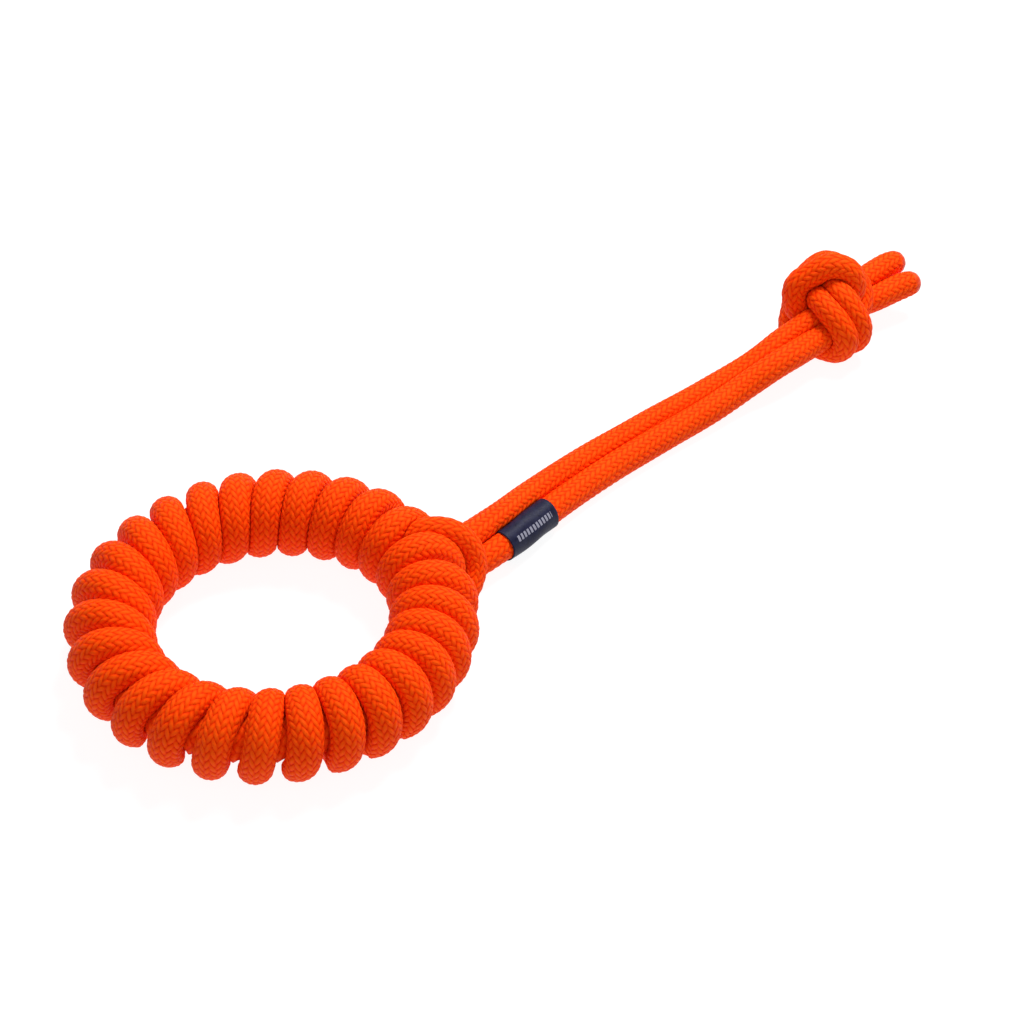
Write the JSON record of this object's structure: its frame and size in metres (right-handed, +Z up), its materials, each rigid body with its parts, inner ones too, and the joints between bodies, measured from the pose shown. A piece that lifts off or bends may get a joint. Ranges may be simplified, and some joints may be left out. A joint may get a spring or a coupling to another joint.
{
  "type": "training bumper",
  "caption": "Rope ring bumper for dog training: a core loop wrapped in braided rope, with a collar, a two-strand tail, a stopper knot with sealed tips and a woven label.",
  "frame": {"origin": "middle of the ring, on the surface that it lies on", "axes": "+Z up along the ring's axis; +X from the ring's middle towards the tail and its knot; +Y completes a right-handed frame"},
  "size_m": [0.3894, 0.1434, 0.0438],
  "materials": {
    "braided_rope": "multifilament rope braided over two and under two, bright orange, matt",
    "sealed_end": "rope end melted into a smooth, slightly glossy skin",
    "label_satin": "dark navy woven satin tape with one row of plain pale ticks",
    "label_thread": "twisted sewing thread"
  },
  "bodies": {
    "ring": {"core_loop": "braided_rope", "wrap_turn_01": "braided_rope", "wrap_turn_02": "braided_rope", "wrap_turn_03": "braided_rope", "wrap_turn_04": "braided_rope", "wrap_turn_05": "braided_rope", "wrap_turn_06": "braided_rope", "wrap_turn_07": "braided_rope", "wrap_turn_08": "braided_rope", "wrap_turn_09": "braided_rope", "wrap_turn_10": "braided_rope", "wrap_turn_11": "braided_rope", "wrap_turn_12": "braided_rope", "wrap_turn_13": "braided_rope", "wrap_turn_14": "braided_rope", "wrap_turn_15": "braided_rope", "wrap_turn_16": "braided_rope", "wrap_turn_17": "braided_rope", "wrap_turn_18": "braided_rope", "wrap_turn_19": "braided_rope", "wrap_turn_20": "braided_rope", "wrap_turn_21": "braided_rope", "wrap_turn_22": "braided_rope", "wrap_turn_23": "braided_rope", "wrap_turn_24": "braided_rope", "wrap_turn_25": "braided_rope", "wrap_turn_26": "braided_rope", "wrap_turn_27": "braided_rope", "collar": "braided_rope", "strand_back_root": "braided_rope", "strand_front_root": "braided_rope"},
    "tail_near": {"strand_back_near": "braided_rope", "strand_front_near": "braided_rope", "label": "label_satin", "label_stitching": "label_thread"},
    "tail_mid": {"strand_back_mid": "braided_rope", "strand_front_mid": "braided_rope"},
    "tail_end": {"strand_back_knot": "braided_rope", "strand_front_knot": "braided_rope", "tip_back": "sealed_end", "tip_front": "sealed_end"}
  },
  "joints": [
    {"name": "tail_swing", "type": "hinge", "parent": "ring", "child": "tail_near", "pos_m": [0.088, -0.0124, 0.01], "axis": [0, 0, 1], "range_deg": [-40, 40]},
    {"name": "tail_lift", "type": "hinge", "parent": "tail_near", "child": "tail_mid", "pos_m": [0.122, 0, 0.007], "axis": [0, -1, 0], "range_deg": [0, 70]},
    {"name": "tail_bend", "type": "hinge", "parent": "tail_mid", "child": "tail_end", "pos_m": [0.205, -0.0036, 0.007], "axis": [0, 0, 1], "range_deg": [-45, 45]}
  ]
}
